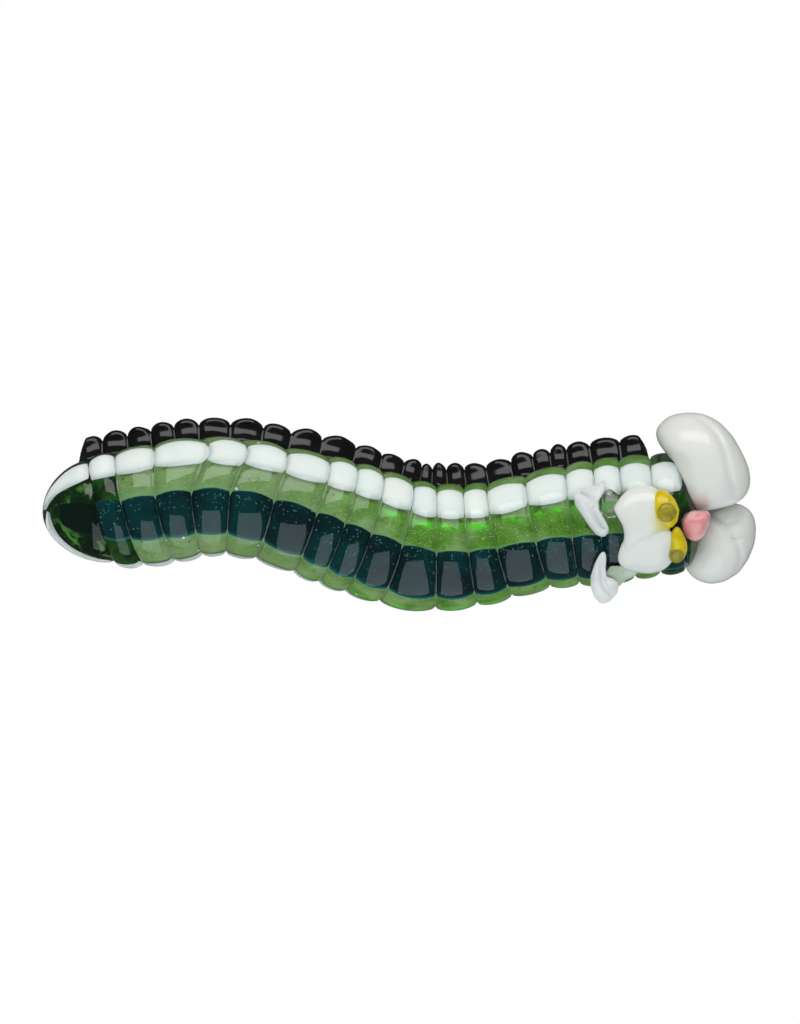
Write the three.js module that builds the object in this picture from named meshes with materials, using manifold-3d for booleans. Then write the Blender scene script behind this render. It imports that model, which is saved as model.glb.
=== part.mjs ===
// A hand-made glass larva: a ribbed, striped glass rod in a lazy S, lying on two rows of
// crimped feet, with an animal's face built up on its front end from separate gathers of glass.
// Millimetres. +X runs from the tail to the cheeks, +Z is up, +Y is the larva's left.

import * as THREE from 'three';
import { mergeVertices } from 'three/addons/utils/BufferGeometryUtils.js';
import Module from 'manifold-3d';

const wasm = await Module();
wasm.setup();

// ---- Driving dimensions ----

const fusedGap = 0.3; // left between two pieces that are fused together on the real object
const tailTip = -90;
const domeLength = 18; // the rounded tail
const firstGroove = -78.4;
// Every rib from the first groove to the neck, in order.
const ribLengths = [
  8.1, 10.4, 8.4, 8.5, 9.9, 10.4, 6.8, 6.7, 8.1, 10.2, 8.7, 7.4, 9.6, 8.7, 7.2, 6.5, 7.1, 6.7,
];
const neck = firstGroove + ribLengths.reduce((total, length) => total + length, 0);
const grooveDepth = 0.95;
const ribRoundness = 0.55; // under 1 gives fat ribs with narrow grooves
const casingWall = 2.2;
const stripeGap = 0.45; // more than fusedGap, because the facets of two rings sag towards each other
const stripeThickness = 2.6;
const stripeEdgePinch = 0.12; // how far a stripe draws in at a groove, of its width
const stripeTopPinch = 0.45;
const axisHeight = 17.5; // of the rod over the floor
const casingSides = 18;
const coreSides = 20;
const headStub = 5; // of the core past the end of the casing

// The rod's centre line wanders sideways: distance along, distance to the left, crest radius.
const rodStations = [
  [-90, 2.5, 15.0], [-73, 2.0, 15.0], [-60, 4.1, 15.6], [-50, 5.9, 15.2], [-38, 5.4, 15.1],
  [-28, 2.8, 15.4], [-20, 0.2, 16.1], [-3, -5.8, 16.6], [5, -7.9, 16.5], [13, -8.1, 16.1],
  [25, -6.3, 15.3], [36, -3.3, 15.2], [48, -1.4, 15.9], [63, 0.8, 15.6], [73, 1.7, 15.2],
  [90, 3.5, 15.2],
];

const feet = {
  from: -81.6,
  // Every foot from the tail to the head, pinched by hand and so uneven.
  widths: [
    6.85, 7.8, 6.55, 5.55, 5.15, 6.15, 6.55, 5.9, 7.3, 8.1, 6.55, 5.9, 5.65, 5, 5.15, 5.55, 6.8, 6.8,
    4.8, 3.6, 3.85, 6.15, 7.5, 6.5,
  ],
  angle: 143, // from straight up, round to the side
  reach: 8, // of a foot from the casing, before its tip is flattened on the floor
  crimp: 3.2, // how much shorter the strip is between two feet
  roundness: 0.6, // under 1 gives broad feet with narrow dips
  thickness: 2.9,
  waist: 1.1, // how much thinner a foot is half way to its tip
  slimming: 0.9, // how much thinner the strip is between two feet
};

// ---- The rod's own geometry ----

const rodCurve = new THREE.CubicInterpolant(
  new Float32Array(rodStations.map(([x]) => x)),
  new Float32Array(rodStations.flatMap(([, left, radius]) => [left, radius])),
  2,
);

function rodAt(x) {
  const [left, crest] = rodCurve.evaluate(x);
  const [leftAhead] = rodCurve.evaluate(x + 0.5);
  return { left, crest, turn: Math.atan2(leftAhead - left, 0.5) };
}

// The crest radius without ribs, drawn in to a round end at the tail.
function crestRadius(x) {
  const { crest } = rodAt(x);
  const intoDome = THREE.MathUtils.clamp((tailTip + domeLength - x) / domeLength, 0, 1);
  return crest * Math.sqrt(1 - intoDome ** 2);
}

const grooves = [firstGroove];
for (const length of ribLengths) grooves.push(grooves.at(-1) + length);

// 0 on the crest of a rib and 1 in the groove between two ribs.
function grooveAt(x) {
  const next = grooves.findIndex((groove) => groove > x + 1e-6);
  if (next === -1) return 1;
  const start = next === 0 ? tailTip : grooves[next - 1];
  const along = (x - start) / (grooves[next] - start);
  if (next === 0 && along < 0.5) return 0;
  return 1 - Math.sin(Math.PI * along) ** ribRoundness;
}

// Places along the rod at the same fractions of every rib.
function ribSamples(fractions) {
  const samples = [];
  for (let rib = 0; rib < ribLengths.length; rib++) {
    for (const fraction of fractions) samples.push(grooves[rib] + fraction * ribLengths[rib]);
  }
  return [...samples, neck];
}

// A point given by its place along the rod, its angle from straight up towards the left, and radius.
function rodPoint(x, angle, radius) {
  const { left, turn } = rodAt(x);
  const sideways = radius * Math.sin(angle);
  return new THREE.Vector3(
    x - sideways * Math.sin(turn),
    left + sideways * Math.cos(turn),
    radius * Math.cos(angle),
  );
}

// ---- Solids ----

function solidFrom(geometry) {
  geometry.deleteAttribute('normal');
  geometry.deleteAttribute('uv');
  const welded = mergeVertices(geometry, 1e-3);
  const corners = [...welded.index.array];
  const triVerts = [];
  for (let i = 0; i < corners.length; i += 3) {
    const [a, b, c] = corners.slice(i, i + 3);
    if (a !== b && b !== c && c !== a) triVerts.push(a, b, c);
  }
  return new wasm.Manifold(new wasm.Mesh({
    numProp: 3,
    vertProperties: welded.attributes.position.array,
    triVerts: new Uint32Array(triVerts),
  }));
}

function geometryFrom(solid) {
  const mesh = solid.getMesh();
  const geometry = new THREE.BufferGeometry();
  geometry.setAttribute('position', new THREE.BufferAttribute(mesh.vertProperties, 3));
  geometry.setIndex(new THREE.BufferAttribute(mesh.triVerts, 1));
  geometry.computeVertexNormals();
  return geometry;
}

function warp(geometry, place) {
  const position = geometry.attributes.position;
  const point = new THREE.Vector3();
  for (let i = 0; i < position.count; i++) {
    const placed = place(point.fromBufferAttribute(position, i));
    position.setXYZ(i, placed.x, placed.y, placed.z);
  }
  return geometry;
}

// A turned profile of [along, radius] points, bent along the rod's centre line.
function turned(profile, sides) {
  const points = profile.map(([x, radius]) => new THREE.Vector2(radius, x));
  const lathe = new THREE.LatheGeometry(points, sides);
  return solidFrom(warp(lathe, ({ x, y, z }) => rodPoint(y, Math.atan2(-x, z), Math.hypot(x, z))));
}

// A soft lump of glass that wraps around the rod. Its half sizes run along, around and outward.
function lump({ x, angle, radius, half, taper = 0, sides = 14 }) {
  const [along, around, outward] = half;
  const sphere = new THREE.SphereGeometry(1, sides, Math.round(sides * 0.7)).rotateX(Math.PI / 2);
  return solidFrom(warp(sphere, (p) => rodPoint(
    x + p.x * along,
    THREE.MathUtils.degToRad(angle) + (p.y * around * (1 + taper * p.x)) / radius,
    radius + p.z * outward,
  )));
}

// A free ball of glass, in the rod's frame.
function ball({ at, half, sides = 20 }) {
  const sphere = new THREE.SphereGeometry(1, sides, Math.round(sides * 0.7));
  return solidFrom(sphere.scale(...half).translate(...at));
}

// ---- The rod's pieces ----

const radians = THREE.MathUtils.degToRad;
const roundFractions = [0, 0.14, 0.5, 0.86]; // of a rib, close to its grooves and on its crest
const domeSteps = 7;
const stubSteps = 4;

function domeProfile(inset) {
  const profile = [];
  for (let i = 0; i <= domeSteps; i++) {
    const forward = Math.cos((i / domeSteps) * (Math.PI / 2));
    const x = firstGroove - (firstGroove - tailTip) * forward;
    profile.push([x + inset * forward, Math.max(crestRadius(x) - inset, 0)]);
  }
  return profile;
}

function makeCasing() {
  const outside = domeProfile(0).slice(0, -1);
  for (const x of ribSamples(roundFractions)) {
    outside.push([x, crestRadius(x) - grooveDepth * grooveAt(x)]);
  }
  const inside = ribSamples([0, 0.5]).map((x) => [x, crestRadius(x) - casingWall]).reverse();
  return turned([...outside, ...inside, ...domeProfile(casingWall).reverse().slice(1)], casingSides);
}

// A bar of glass sunk in the core. Grown by a spare all round and well past the core's skin, it cuts
// its own groove there.
function makeStripe({ angle, twist, halfWidth, spare = 0 }) {
  const pastSkin = 3 * spare;
  const samples = ribSamples([0, 0.5]);
  const bar = new THREE.BoxGeometry(1, 1, 1, samples.length - 1, 3, 1);
  return solidFrom(warp(bar, ({ x: along, y: across, z: depth }) => {
    const index = Math.round((along + 0.5) * (samples.length - 1));
    const atEnd = index === 0 ? -spare : index === samples.length - 1 ? spare : 0;
    const x = samples[index];
    const pinch = grooveAt(x);
    const inner = crestRadius(x) - casingWall - stripeGap - stripeThickness;
    const outer = inner + stripeThickness - stripeTopPinch * pinch;
    const radius = depth < 0 ? inner - spare : outer + pastSkin;
    const width = 2 * radians(halfWidth) * (1 - stripeEdgePinch * pinch) + (2 * spare) / inner;
    return rodPoint(x + atEnd, radians(angle + twist * x) + across * width, radius);
  }));
}

// Degrees around the rod from straight up. The twist is for each millimetre along it.
const stripes = {
  dorsal_stripe: { angle: -4.5, twist: -0.25, halfWidth: 25 },
  left_side_stripe: { angle: 80.5, twist: -0.12, halfWidth: 22 },
  right_side_stripe: { angle: -90, twist: -0.16, halfWidth: 22 },
};

function coreRadius(x) {
  return crestRadius(x) - casingWall - stripeGap;
}

// The core's round front end, past the casing.
function stubProfile(skin) {
  const profile = [];
  for (let i = 1; i <= stubSteps; i++) {
    const angle = (i / stubSteps) * (Math.PI / 2);
    const radius = i === stubSteps ? 0 : (coreRadius(neck) + skin) * Math.cos(angle);
    profile.push([neck + (headStub + skin) * Math.sin(angle), radius]);
  }
  return profile;
}

function makeCore() {
  const startAt = firstGroove + fusedGap;
  const rod = ribSamples([0, 0.5]).slice(1).map((x) => [x, coreRadius(x)]);
  const profile = [[startAt, 0], [startAt, coreRadius(startAt)], ...rod, ...stubProfile(0)];
  let core = turned(profile, coreSides);
  for (const stripe of Object.values(stripes)) {
    core = core.subtract(makeStripe({ ...stripe, spare: fusedGap }));
  }
  return core;
}

function makeTailCap() {
  const outside = domeProfile(casingWall + stripeGap).slice(0, -1);
  const end = firstGroove - fusedGap;
  const rim = [end, coreRadius(end)];
  return turned([...outside.slice(0, -1), rim, [end, 0]], coreSides);
}

// Everything the face is fused on to: the casing with its grooves filled, and the core's end.
function makeBodyCutter() {
  const filled = ribSamples([0, 0.5]).map((x) => [x, crestRadius(x) + fusedGap]);
  const end = neck + fusedGap;
  const skin = 2 * fusedGap;
  const profile = [
    [firstGroove, 0], ...filled, [end, crestRadius(neck) + fusedGap],
    [end, coreRadius(neck) + skin], ...stubProfile(skin),
  ];
  return turned(profile, coreSides);
}

// One row of feet: a strip of glass on edge, crimped between every two feet.
function makeFootRow(side) {
  const stepsPerFoot = 4;
  const steps = feet.widths.length * stepsPerFoot;
  const strip = new THREE.BoxGeometry(1, 1, 1, steps, 1, 2);
  const angle = radians(feet.angle) * side;
  const dips = [feet.from];
  for (const width of feet.widths) dips.push(dips.at(-1) + width);
  return solidFrom(warp(strip, ({ x: along, y: across, z: outward }) => {
    const step = Math.round((along + 0.5) * steps);
    const foot = Math.min(Math.floor(step / stepsPerFoot), feet.widths.length - 1);
    const part = step / stepsPerFoot - foot;
    const bump = Math.sin(Math.PI * part) ** feet.roundness;
    const x = dips[foot] + part * feet.widths[foot];
    const root = crestRadius(Math.max(x, firstGroove)) + fusedGap;
    const height = (outward + 0.5) * (feet.reach - feet.crimp * (1 - bump));
    const waist = outward === 0 ? feet.waist : 0;
    const thickness = feet.thickness - waist - feet.slimming * (1 - bump);
    const point = rodPoint(x, angle, root + height);
    const { turn } = rodAt(x);
    const offset = across * thickness;
    point.y += offset * Math.cos(angle) * Math.cos(turn);
    point.x -= offset * Math.cos(angle) * Math.sin(turn);
    point.z -= offset * Math.sin(angle);
    point.z = Math.max(point.z, -axisHeight);
    return point;
  }));
}

// ---- The face ----

const bodyCutter = makeBodyCutter();

function cut(solid, ...tools) {
  return tools.reduce((left, tool) => left.subtract(tool), solid);
}

// The same ball or lump with a skin of the fused gap around it, to cut a seat for it.
function grown(spec) {
  return { ...spec, half: spec.half.map((size) => size + fusedGap) };
}

const cheeks = {
  left: { at: [76.4, 14.0, -3.0], half: [12.1, 13.2, 12.6] },
  right: { at: [80.8, -8.8, -3.2], half: [9.2, 11.4, 10.4] },
};
const noseBall = { at: [74.9, 3.9, 10.2], half: [3.9, 4.3, 4.6], sides: 16 };
const eyes = {
  left: { x: 66.6, angle: 28, radius: 15.4, half: [4.2, 5.6, 3.6] },
  right: { x: 69.8, angle: -6.5, radius: 15.2, half: [3.6, 5.2, 3.4] },
};
const pupils = {
  left: { x: 66.9, angle: 27.5, radius: 18.9, half: [2.6, 2.6, 0.75], sides: 12 },
  right: { x: 70.0, angle: -9.5, radius: 18.4, half: [2.3, 2.3, 0.7], sides: 12 },
};
const brows = {
  left: { x: 60.6, angle: 31, radius: 15.8, half: [7.6, 7.4, 3.6], taper: 0.35 },
  right: { x: 62.6, angle: -18.5, radius: 15.8, half: [7.2, 7.0, 3.6], taper: 0.2 },
};
// A leaf-shaped ear: the rolled rim's route and the web inside it, as [along, angle, radius].
const ears = {
  left: {
    rim: [
      [52.4, 62, 17.9], [48.2, 57, 18.8], [45.0, 46.5, 19.4], [44.8, 35.5, 19.4], [47.2, 24.5, 18.9],
      [50.2, 17.5, 18.4],
    ],
    web: { x: 49.9, angle: 40, radius: 17.6, half: [3.9, 5.6, 0.7], sides: 12 },
  },
  right: {
    rim: [
      [51.4, 1, 17.8], [49.2, -7, 18.5], [48.4, -18, 19.0], [49.1, -36, 19.3], [50.9, -52, 19.7],
      [53.0, -58, 19.6],
    ],
    web: { x: 53.2, angle: -31, radius: 17.7, half: [3.4, 7.2, 0.7], sides: 12 },
  },
};
const earRimRadius = 1.15;

function makeEarRim(route, radius) {
  const points = route.map(([x, angle, out]) => rodPoint(x, radians(angle), out));
  const section = new THREE.Shape().absarc(0, 0, radius, 0, 2 * Math.PI);
  return solidFrom(new THREE.ExtrudeGeometry(section, {
    steps: 16,
    curveSegments: 8,
    bevelEnabled: false,
    extrudePath: new THREE.CatmullRomCurve3(points),
  }));
}

// ---- Materials ----

function glass(color, roughness = 0.08) {
  return new THREE.MeshStandardMaterial({ color, roughness, metalness: 0 });
}

const clearGlass = new THREE.MeshStandardMaterial({
  color: 0xe8f4ec, roughness: 0.04, metalness: 0, transparent: true, opacity: 0.25,
});
const glitterGreen = glass(0x6fa04c, 0.15);
const darkGreen = glass(0x0f3a26);
const teal = glass(0x0a3b42, 0.12);
const opalWhite = glass(0xe9f0ec);
const ivory = glass(0xe9e7dc, 0.1);
const black = glass(0x0a0a0c, 0.06);
const pink = glass(0xe08a90);
const yellow = glass(0xd9c414);
const olive = glass(0x6e6a14);

// ---- Assembly ----

const larva = new THREE.Group();

function addPiece(group, name, solid, material) {
  const mesh = new THREE.Mesh(geometryFrom(solid), material);
  mesh.name = name;
  group.add(mesh);
}

const rod = new THREE.Group();
addPiece(rod, 'clear_casing', makeCasing(), clearGlass);
addPiece(rod, 'glitter_core', makeCore(), glitterGreen);
addPiece(rod, 'tail_cap', makeTailCap(), darkGreen);
addPiece(rod, 'dorsal_stripe', makeStripe(stripes.dorsal_stripe), teal);
addPiece(rod, 'left_side_stripe', makeStripe(stripes.left_side_stripe), opalWhite);
addPiece(rod, 'right_side_stripe', makeStripe(stripes.right_side_stripe), opalWhite);
const cheekRoom = [ball(grown(cheeks.left)), ball(grown(cheeks.right))];
addPiece(rod, 'left_foot_row', cut(makeFootRow(1), ...cheekRoom), black);
addPiece(rod, 'right_foot_row', cut(makeFootRow(-1), ...cheekRoom), black);
larva.add(rod);

const face = new THREE.Group();
const noseRoom = ball(grown(noseBall));
const cheekCutter = [bodyCutter, noseRoom];
addPiece(face, 'left_cheek', cut(ball(cheeks.left), ...cheekCutter), ivory);
addPiece(face, 'right_cheek', cut(ball(cheeks.right), ...cheekCutter, cheekRoom[0]), ivory);
addPiece(face, 'nose', cut(ball(noseBall), bodyCutter), pink);

const eyeRoom = [lump(grown(eyes.left)), lump(grown(eyes.right))];
const browRoom = [lump(grown(brows.left)), lump(grown(brows.right))];
for (const side of ['left', 'right']) {
  // The left eye and brow lie over the right ones.
  const under = side === 'right' ? { eye: [eyeRoom[0]], brow: [browRoom[0]] } : { eye: [], brow: [] };
  const muzzle = [...cheekRoom, noseRoom];
  const pupilRoom = lump(grown(pupils[side]));
  const eye = cut(lump(eyes[side]), bodyCutter, pupilRoom, ...under.eye, ...muzzle);
  addPiece(face, `${side}_eye`, eye, yellow);
  addPiece(face, `${side}_pupil`, cut(lump(pupils[side]), ...muzzle), olive);

  const brow = cut(lump(brows[side]), bodyCutter, ...eyeRoom, pupilRoom, ...under.brow, ...muzzle);
  addPiece(face, `${side}_brow`, brow, ivory);

  const rim = makeEarRim(ears[side].rim, earRimRadius);
  const rimRoom = makeEarRim(ears[side].rim, earRimRadius + fusedGap);
  addPiece(face, `${side}_ear_rim`, cut(rim, bodyCutter, ...browRoom), opalWhite);
  addPiece(face, `${side}_ear_web`, cut(lump(ears[side].web), bodyCutter, rimRoom, ...browRoom), clearGlass);
}
larva.add(face);

// Stand the feet on the floor, with the origin under the middle of the whole larva.
const extent = new THREE.Box3().setFromObject(larva);
const middle = extent.getCenter(new THREE.Vector3());
larva.position.set(-middle.x, -middle.y, -extent.min.z);

export default larva;
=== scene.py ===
import bmesh
import bpy
import math
import numpy as np
from mathutils import Matrix, Vector


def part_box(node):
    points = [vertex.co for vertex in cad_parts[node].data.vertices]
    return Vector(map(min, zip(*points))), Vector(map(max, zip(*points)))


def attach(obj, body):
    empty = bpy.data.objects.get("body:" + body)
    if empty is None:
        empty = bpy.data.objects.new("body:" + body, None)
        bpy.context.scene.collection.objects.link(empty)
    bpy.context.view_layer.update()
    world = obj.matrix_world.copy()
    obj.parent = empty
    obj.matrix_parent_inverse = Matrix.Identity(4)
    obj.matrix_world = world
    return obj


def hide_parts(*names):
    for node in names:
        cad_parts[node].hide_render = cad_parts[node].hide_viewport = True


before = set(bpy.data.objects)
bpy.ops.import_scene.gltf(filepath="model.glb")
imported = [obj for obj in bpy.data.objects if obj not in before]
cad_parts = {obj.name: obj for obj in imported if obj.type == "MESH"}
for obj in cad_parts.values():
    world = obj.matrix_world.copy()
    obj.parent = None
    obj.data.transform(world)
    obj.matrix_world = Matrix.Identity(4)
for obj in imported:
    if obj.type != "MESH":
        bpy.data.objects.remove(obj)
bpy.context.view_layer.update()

# A lampworked glass larva. Shapes are worked out in millimetres in the rod's own frame, whose axis
# is at height 0, and each piece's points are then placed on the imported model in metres.

mm = 0.001
axisHeight = 17.5  # of the rod over the floor

# Along, to the left, crest radius of the rod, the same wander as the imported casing.
rodStations = [
    (-90, 2.5, 15.0), (-73, 2.0, 15.0), (-60, 4.1, 15.6), (-50, 5.9, 15.2), (-38, 5.4, 15.1),
    (-28, 2.8, 15.4), (-20, 0.2, 16.1), (-3, -5.8, 16.6), (5, -7.9, 16.5), (13, -8.1, 16.1),
    (25, -6.3, 15.3), (36, -3.3, 15.2), (48, -1.4, 15.9), (63, 0.8, 15.6), (73, 1.7, 15.2),
    (90, 3.5, 15.2),
]
tailTip = -90
domeLength = 18
firstGroove = -78.4
# Every rib from the first groove to the neck, in order.
ribLengths = [8.1, 10.4, 8.4, 8.5, 9.9, 10.4, 6.8, 6.7, 8.1, 10.2, 8.7, 7.4, 9.6, 8.7, 7.2, 6.5, 7.1, 6.7]
grooves = firstGroove + np.concatenate([[0], np.cumsum(ribLengths)])

# Some grooves run askew down the left side: where along the rod, and how much further forward.
skewPlaces = [-78, -70, -60, -51, -43, -33, -22, -15, -8]
skewAmounts = [0, 0.3, 1.2, 4.4, 3.0, 1.2, 0.6, 0.2, 0]
skewMiddle, skewSpan = 85, 65  # degrees round from the top, and to either side of that
# Near the tail they lean forward on the side away from the feet that show.
leanPlaces = [-90, -78.4, -70.3, -60, -50]
leanAmounts = [0, 5.6, 3.6, 0.6, 0]
neck = grooves[-1]

# The face looks up and to the larva's left: across runs forward, rise to the left and down
# the rod's side, out straight away from the face.
faceTilt = math.radians(26)
faceAcross = np.array([1.0, 0, 0])
faceRise = np.array([0, math.cos(faceTilt), -math.sin(faceTilt)])
faceOut = np.array([0, math.sin(faceTilt), math.cos(faceTilt)])

# A face piece is drawn as it looks from this far in front of the rod's axis, in millimetres, so what
# stands nearer is drawn in a little towards the middle of the view.
viewDistance = 1680.0
viewRise = 1.6


def naturalSpline(places, values):
    # second derivatives of the natural cubic through the stations, then a lookup function
    places, values = np.asarray(places, float), np.asarray(values, float)
    step = np.diff(places)
    count = len(places)
    matrix, right = np.eye(count), np.zeros(count)
    for i in range(1, count - 1):
        matrix[i, i - 1:i + 2] = step[i - 1], 2 * (step[i - 1] + step[i]), step[i]
        right[i] = 6 * ((values[i + 1] - values[i]) / step[i] - (values[i] - values[i - 1]) / step[i - 1])
    bend = np.linalg.solve(matrix, right)

    def lookup(x):
        i = np.clip(np.searchsorted(places, x) - 1, 0, count - 2)
        a, b = (places[i + 1] - x) / step[i], (x - places[i]) / step[i]
        cubic = ((a**3 - a) * bend[i] + (b**3 - b) * bend[i + 1]) * step[i]**2 / 6
        return a * values[i] + b * values[i + 1] + cubic
    return lookup


leftAt = naturalSpline([s[0] for s in rodStations], [s[1] for s in rodStations])
crestAt = naturalSpline([s[0] for s in rodStations], [s[2] for s in rodStations])


def skinRadius(x, inset=0.0):
    # the rod's radius without its ribs, a given depth under its surface, drawn in to a round tail
    intoDome = np.clip((tailTip + domeLength - x) / (domeLength - inset), 0, 1)
    return (crestAt(x) - inset) * np.sqrt(np.maximum(1 - intoDome**2, 0))


def ribPhase(x):
    # 0 and 1 in the grooves, half way on a crest; the tail dome counts as the back of a rib
    i = np.clip(np.searchsorted(grooves, x, side="right") - 1, 0, len(grooves) - 2)
    phase = (x - grooves[i]) / (grooves[i + 1] - grooves[i])
    upDome = np.clip((x - tailTip) / (firstGroove - tailTip), 0, 1)
    return np.where(x < firstGroove, 0.5 + 0.5 * upDome**2, phase)


def groove(x, roundness):
    # 1 in a groove and 0 on a crest; a roundness under 1 gives fat ribs with narrow grooves
    return 1 - np.sin(np.pi * np.clip(ribPhase(x), 0, 1))**roundness


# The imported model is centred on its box, so the rod's own zero line lies a little to one side of it.
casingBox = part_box("clear_casing")
rodSamples = np.linspace(-75, 70, 400)
leftmost = (leftAt(rodSamples) + crestAt(rodSamples)).max()
rightmost = (leftAt(rodSamples) - crestAt(rodSamples)).min()
rodSide = 0.5 * (casingBox[0][1] + casingBox[1][1]) / mm - 0.5 * (leftmost + rightmost)


def signedTurn(angle):
    # degrees round from the top, from -180 to 180, positive to the left
    return (np.degrees(angle) + 180) % 360 - 180


def skewed(x, angle):
    # the place along the rod that a point of a rib has once its grooves run askew
    share = np.cos(np.radians(np.clip((signedTurn(angle) - skewMiddle) / skewSpan * 90, -90, 90)))**2
    lean = 0.5 - 0.5 * np.sin(angle - faceTilt)
    return x + share * np.interp(x, skewPlaces, skewAmounts) + lean * np.interp(x, leanPlaces, leanAmounts)


def turnAt(x):
    # how far the rod has turned to the left there
    return np.arctan2(leftAt(x + 0.25) - leftAt(x - 0.25), 0.5)


def rodPoints(x, angle, radius):
    # along, angle from straight up towards the left, radius -> points in the shared frame, in metres
    x, angle, radius = np.broadcast_arrays(np.asarray(x, float), angle, radius)
    turn = turnAt(x)
    sideways = radius * np.sin(angle)
    points = np.stack([
        x - sideways * np.sin(turn),
        leftAt(x) + sideways * np.cos(turn) + rodSide,
        radius * np.cos(angle) + axisHeight,
    ], -1)
    return points * mm


def placed(points):
    # rod-frame points, in millimetres, to the shared frame
    return (np.asarray(points, float) + [0, rodSide, axisHeight]) * mm


def facePoints(across, rise, out):
    across, rise, out = np.broadcast_arrays(np.asarray(across, float), rise, out)
    return placed(across[..., None] * faceAcross + rise[..., None] * faceRise + out[..., None] * faceOut)


def drawnIn(across, rise, out):
    near = 1 - out / viewDistance
    return across * near, viewRise + (rise - viewRise) * near


def meshObject(name, points, faces, attributes=None):
    mesh = bpy.data.meshes.new(name)
    mesh.from_pydata([tuple(p) for p in points], [], faces)
    for key, values in (attributes or {}).items():
        values = np.asarray(values, float)
        kind = "FLOAT_VECTOR" if values.ndim == 2 else "FLOAT"
        layer = mesh.attributes.new(key, kind, "POINT")
        layer.data.foreach_set("vector" if values.ndim == 2 else "value", values.ravel())
    mesh.shade_smooth()
    mesh.update()
    obj = bpy.data.objects.new(name, mesh)
    bpy.context.scene.collection.objects.link(obj)
    return obj


def gridFaces(rows, columns, flip=False):
    # faces between rows of points that each go all the way round
    faces = []
    for here in range(0, (rows - 1) * columns, columns):
        beyond = here + columns
        for j in range(columns):
            k = (j + 1) % columns
            quad = (here + j, here + k, beyond + k, beyond + j)
            faces.append(quad[::-1] if flip else quad)
    return faces


def bakedMesh(obj):
    # the evaluated result as a plain mesh, with every modifier gone
    graph = bpy.context.evaluated_depsgraph_get()
    mesh = bpy.data.meshes.new_from_object(obj.evaluated_get(graph), depsgraph=graph)
    obj.modifiers.clear()
    obj.data = mesh
    return obj


def outwardFaces(obj):
    work = bmesh.new()
    work.from_mesh(obj.data)
    bmesh.ops.remove_doubles(work, verts=work.verts, dist=1e-6)
    bmesh.ops.recalc_face_normals(work, faces=work.faces)
    work.to_mesh(obj.data)
    work.free()
    obj.data.shade_smooth()
    return obj


def unit(vectors):
    return vectors / np.maximum(np.linalg.norm(vectors, axis=-1, keepdims=True), 1e-9)


def finishPiece(obj, node, slot, glass=None):
    obj.data.materials.clear()
    obj.data.materials.append(glasses[glass or slot])
    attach(obj, "root")
    if node:
        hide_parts(node)


def pieceName(node):
    return node.title().replace("_", "")


def live(sockets):
    # the ones in use, since such a node has one socket for each type of data
    return [socket for socket in sockets if socket.enabled]


class Bench:
    # one node tree, with shorthands for what is built in it
    def __init__(self, tree):
        self.tree = tree

    def feed(self, socket, value):
        # a wire from another node, or a plain value
        if isinstance(value, bpy.types.NodeSocket):
            self.tree.links.new(value, socket)
        else:
            socket.default_value = value

    def add(self, kind, settings=None, **inputs):
        # a node with its settings and its inputs, whose names have _ for a space
        node = self.tree.nodes.new(kind)
        for label, value in (settings or {}).items():
            setattr(node, label, value)
        for label, value in inputs.items():
            self.feed(node.inputs[label.replace("_", " ")], value)
        return node

    def use(self, group, **inputs):
        return self.add("ShaderNodeGroup", {"node_tree": group}, **inputs).outputs

    def calc(self, operation, *values):
        node = self.add("ShaderNodeMath", {"operation": operation})
        for socket, value in zip(node.inputs, values):
            self.feed(socket, value)
        return node.outputs[0]

    def times(self, first, *others):
        for other in others:
            first = self.calc("MULTIPLY", first, other)
        return first

    def vector(self, operation, *values):
        node = self.add("ShaderNodeVectorMath", {"operation": operation})
        for socket, value in zip(live(node.inputs), values):
            self.feed(socket, value)
        return node.outputs[0]

    def blend(self, amount, under, over):
        # over on top of under, both colours
        mix = self.add("ShaderNodeMix", {"data_type": "RGBA"}, Factor=amount, A=under, B=over)
        return mix.outputs["Result"]

    def fade(self, value, start, end):
        # 0 before start, 1 after end, softly; the other way round when start is the larger
        low, high = (0.0, 1.0) if start < end else (1.0, 0.0)
        return self.ramp(value, min(start, end), max(start, end), low, high)

    def ramp(self, value, start, end, low, high):
        node = self.add("ShaderNodeMapRange", {"interpolation_type": "SMOOTHSTEP"}, Value=value,
                        From_Min=start, From_Max=end, To_Min=low, To_Max=high)
        return node.outputs["Result"]

    def pattern(self, kind, scale, **inputs):
        # a texture that lies still in the object, with so many waves or cells to the metre
        place = self.add("ShaderNodeTexCoord").outputs["Object"]
        return self.add(kind, Vector=place, Scale=scale, **inputs).outputs

    def carried(self, label):
        # a value that the mesh carries along its own surface, for a material
        return self.add("ShaderNodeAttribute", {"attribute_name": label}).outputs["Fac"]

    def named(self, label, kind="FLOAT"):
        # the same for a Geometry Nodes tree
        node = self.add("GeometryNodeInputNamedAttribute", {"data_type": kind}, Name=label)
        return live(node.outputs)[0]


def newTree(name, kind, inputs, outputs):
    # a shader group or Geometry Nodes tree; an input has its usual value or the kind of thing it takes
    tree = bpy.data.node_groups.new(name, kind)
    for label, value in inputs.items():
        sort = value if isinstance(value, str) else {float: "Float", int: "Int", tuple: "Color"}[type(value)]
        socket = tree.interface.new_socket(label, in_out="INPUT", socket_type="NodeSocket" + sort)
        if sort != value:
            socket.default_value = value
    for label, sort in outputs.items():
        tree.interface.new_socket(label, in_out="OUTPUT", socket_type="NodeSocket" + sort)
    bench = Bench(tree)
    return bench, bench.add("NodeGroupInput").outputs, bench.add("NodeGroupOutput").inputs


def endTree(bench, geometry, start, end):
    # real geometry in its own glass
    real = bench.add("GeometryNodeRealizeInstances", Geometry=geometry)
    painted = bench.add("GeometryNodeSetMaterial", Geometry=real.outputs[0], Material=start["Glass"])
    bench.feed(end["Geometry"], painted.outputs[0])
    return bench.tree


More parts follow.
